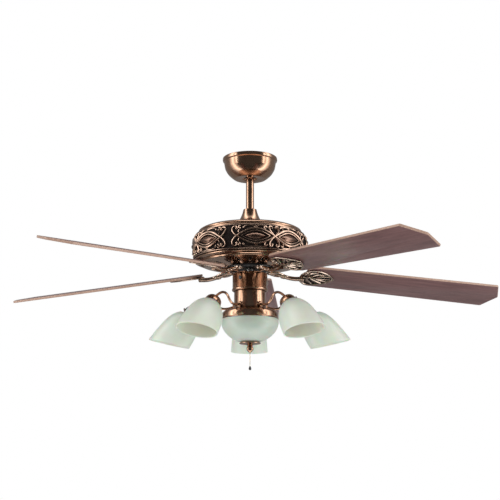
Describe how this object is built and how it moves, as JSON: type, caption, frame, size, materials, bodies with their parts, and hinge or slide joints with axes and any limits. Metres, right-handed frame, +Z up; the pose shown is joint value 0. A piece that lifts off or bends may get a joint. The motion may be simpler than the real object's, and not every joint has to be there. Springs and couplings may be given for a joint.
{
  "type": "ceiling fan with light",
  "caption": "Ceiling fan on a downrod, with an openwork motor housing, walnut-look blades on cast irons, angled frosted glass shades on swan-neck arms, a centre bowl light and a pull chain.",
  "frame": {"origin": "centre of the hanger bracket's top face, in the ceiling plane, on the fan's axis", "axes": "+Z up into the ceiling, -Z down into the room, +X to the right and -Y towards someone who looks at the fan from the front"},
  "size_m": [1.3488, 1.3172, 0.571],
  "materials": {
    "copper": "antique copper plate, polished, brushed round its axis",
    "dark_copper": "blackened antique copper with rubbed edges",
    "cast_copper": "cast, antique copper plate with dark recesses",
    "steel": "zinc-plated",
    "zinc": "die-cast, matt",
    "aluminium": "die-cast, matt",
    "black_plastic": "matt black",
    "walnut": "satin veneer",
    "frosted_glass": "frosted, faintly green white",
    "bulb_glass": "opal",
    "porcelain": "glazed",
    "brass": "bright"
  },
  "bodies": {
    "ceiling_mount": {"hanger_bracket": "steel", "canopy": "copper"},
    "seat_liner": {"ball_seat_liner": "black_plastic"},
    "hanging_frame": {"hanger_ball": "zinc", "downrod": "copper", "coupling_cover": "copper", "motor_coupling": "zinc", "motor_shaft": "steel", "stator_core": "steel", "housing_top": "copper", "housing_band": "dark_copper", "housing_base": "copper", "switch_housing": "copper", "lamp_hub": "copper", "bowl_pan": "copper", "glass_bowl": "frosted_glass", "bowl_stay": "brass", "bowl_bulb": "bulb_glass", "finial": "copper", "lamp_arm_1": "copper", "lamp_arm_2": "copper", "lamp_arm_3": "copper", "lamp_arm_4": "copper", "lamp_arm_5": "copper", "shade_cup_1": "copper", "shade_cup_2": "copper", "shade_cup_3": "copper", "shade_cup_4": "copper", "shade_cup_5": "copper", "lamp_socket_1": "porcelain", "lamp_socket_2": "porcelain", "lamp_socket_3": "porcelain", "lamp_socket_4": "porcelain", "lamp_socket_5": "porcelain", "lamp_bulb_1": "bulb_glass", "lamp_bulb_2": "bulb_glass", "lamp_bulb_3": "bulb_glass", "lamp_bulb_4": "bulb_glass", "lamp_bulb_5": "bulb_glass", "glass_shade_1": "frosted_glass", "glass_shade_2": "frosted_glass", "glass_shade_3": "frosted_glass", "glass_shade_4": "frosted_glass", "glass_shade_5": "frosted_glass"},
    "rotor": {"rotor_drum": "aluminium", "motor_bearing": "steel", "flywheel": "black_plastic", "blade_iron_1": "cast_copper", "blade_iron_2": "cast_copper", "blade_iron_3": "cast_copper", "blade_iron_4": "cast_copper", "blade_iron_5": "cast_copper", "blade_1": "walnut", "blade_2": "walnut", "blade_3": "walnut", "blade_4": "walnut", "blade_5": "walnut"},
    "pull_switch": {"chain_stem": "brass"},
    "chain": {"pull_chain": "brass", "chain_fob": "black_plastic"}
  },
  "joints": [
    {"name": "swing_side", "type": "hinge", "parent": "ceiling_mount", "child": "seat_liner", "pos_m": [0, 0, -0.034], "axis": [0, 1, 0], "range_deg": [-8, 8]},
    {"name": "swing_fore", "type": "hinge", "parent": "seat_liner", "child": "hanging_frame", "pos_m": [0, 0, -0.034], "axis": [1, 0, 0], "range_deg": [-8, 8]},
    {"name": "rotor_spin", "type": "hinge", "parent": "hanging_frame", "child": "rotor", "pos_m": [0, 0, -0.29], "axis": [0, 0, 1], "continuous": true},
    {"name": "chain_pull", "type": "slide", "parent": "hanging_frame", "child": "pull_switch", "axis": [0, 0, -1], "range_m": [0, 0.012], "stiffness_N_per_m": 600},
    {"name": "chain_swing", "type": "hinge", "parent": "pull_switch", "child": "chain", "pos_m": [0, 0, -0.528], "axis": [1, 0, 0], "range_deg": [-30, 30]}
  ]
}
